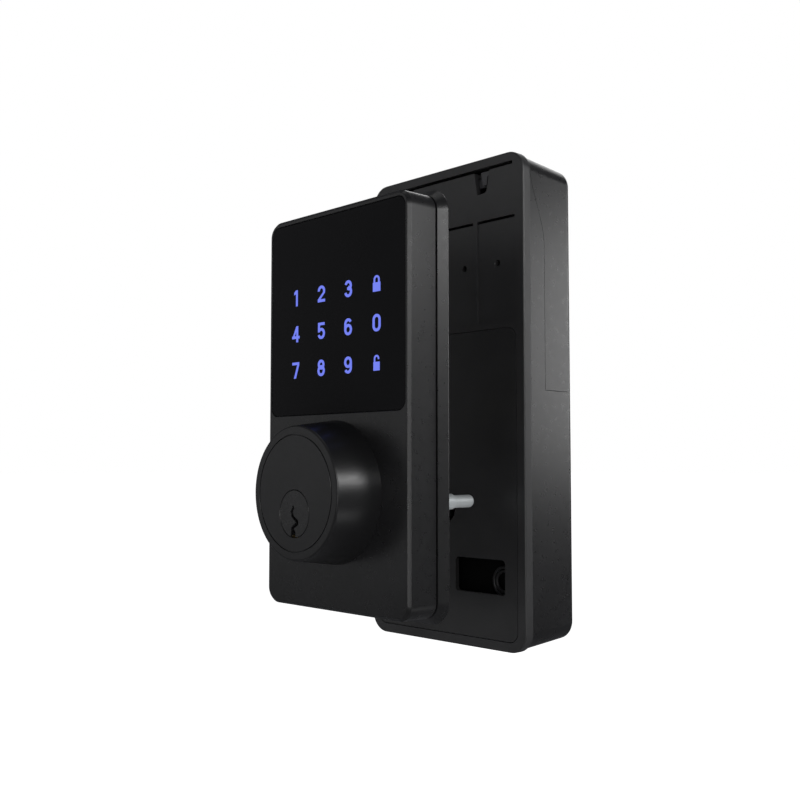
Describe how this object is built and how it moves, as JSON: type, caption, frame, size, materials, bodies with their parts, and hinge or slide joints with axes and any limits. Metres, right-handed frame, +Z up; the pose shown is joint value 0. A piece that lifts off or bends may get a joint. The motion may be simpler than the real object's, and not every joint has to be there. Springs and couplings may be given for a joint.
{
  "type": "keypad smart lock",
  "caption": "Door lock with a touch keypad and key cylinder outside, and a motor drive, battery compartment and thumb-turn inside.",
  "frame": {"origin": "centre of the key plug's axis, in the plane where the exterior unit rests on the door's outer face", "axes": "+X to the right seen from outside, +Y into the door towards the room, +Z up; the exterior unit faces -Y"},
  "size_m": [0.069, 0.1075, 0.1542],
  "materials": {
    "shell_black": "satin powder coat",
    "panel_glass": "gloss",
    "legend_glow": "lit",
    "diffuser": "frosted",
    "board_green": "solder mask",
    "flange_black": "satin powder coat",
    "gasket_foam": "foam",
    "collar_black": "satin powder coat",
    "brass": "machined",
    "zinc": "plated",
    "plug_black": "satin plated",
    "steel": "machined",
    "stud_zinc": "zinc plated",
    "screw_black": "black oxide",
    "socket_ivory": "moulded",
    "frame_black": "fine moulded texture",
    "tongue_grey": "moulded",
    "plate_black": "satin powder coat",
    "cover_black": "fine moulded texture",
    "tray_black": "moulded",
    "cell_wrap": "printed sleeve",
    "contact_nickel": "nickel plated",
    "gear_acetal": "moulded",
    "motor_can": "drawn can",
    "lead_grey": "insulated",
    "button_red": "moulded",
    "turn_black": "satin powder coat"
  },
  "bodies": {
    "housing": {"ext_front_shell": "shell_black", "keypad_glass": "panel_glass", "key_legends": "legend_glow", "light_guide": "diffuser", "touch_board": "board_green", "ext_back_shell": "flange_black", "door_gasket": "gasket_foam", "cylinder_collar": "collar_black", "cylinder_body": "brass", "chamber_cover": "zinc", "driver_pins": "steel", "pin_springs": "steel", "tail_retainer": "zinc", "mounting_studs": "stud_zinc", "shell_screws": "screw_black", "cylinder_screws": "zinc", "cable_socket": "socket_ivory", "int_base_frame": "frame_black", "latch_tongues": "tongue_grey", "mounting_plate": "plate_black", "int_cover": "cover_black", "battery_tray": "tray_black", "aa_cells": "cell_wrap", "cell_contacts": "contact_nickel", "gear_chassis": "zinc", "chassis_screws": "zinc", "gear_cover": "tray_black", "motor": "motor_can", "motor_leads": "lead_grey", "control_board": "board_green", "switch_body": "tray_black", "thumb_bushing": "gear_acetal"},
    "plug": {"key_plug": "plug_black", "key_pins": "brass", "plug_clip": "zinc"},
    "spindle": {"tailpiece": "steel", "spindle_hub": "steel", "output_gear": "gear_acetal", "thumb_turn": "turn_black", "thumb_screw": "screw_black"},
    "idler": {"idler_gear": "gear_acetal"},
    "pinion": {"motor_pinion": "brass"},
    "battery_door": {"battery_cover": "cover_black"},
    "button": {"setup_button": "button_red"}
  },
  "joints": [
    {"name": "key_turn", "type": "hinge", "parent": "housing", "child": "plug", "pos_m": [0, 0, 0], "axis": [0, 1, 0], "range_deg": [-90, 90]},
    {"name": "thumb_turn_joint", "type": "hinge", "parent": "housing", "child": "spindle", "pos_m": [0, 0, 0], "axis": [0, 1, 0], "range_deg": [0, 90]},
    {"name": "idler_spin", "type": "hinge", "parent": "housing", "child": "idler", "pos_m": [-0.00951, 0.04, -0.0185], "axis": [0, 1, 0], "range_deg": [-300, 0]},
    {"name": "pinion_spin", "type": "hinge", "parent": "housing", "child": "pinion", "pos_m": [0.00429, 0.04, -0.02809], "axis": [0, 1, 0], "range_deg": [0, 750]},
    {"name": "battery_cover_slide", "type": "slide", "parent": "housing", "child": "battery_door", "axis": [0, 0, 1], "range_m": [0, 0.075]},
    {"name": "setup_press", "type": "slide", "parent": "housing", "child": "button", "axis": [0, -1, 0], "range_m": [0, 0.0005], "stiffness_N_per_m": 400, "springref_m": -0.0005}
  ],
  "couplings": [
    {"joint": "idler_spin", "follows": "thumb_turn_joint", "ratio": -3.3333},
    {"joint": "pinion_spin", "follows": "thumb_turn_joint", "ratio": 8.3333}
  ]
}
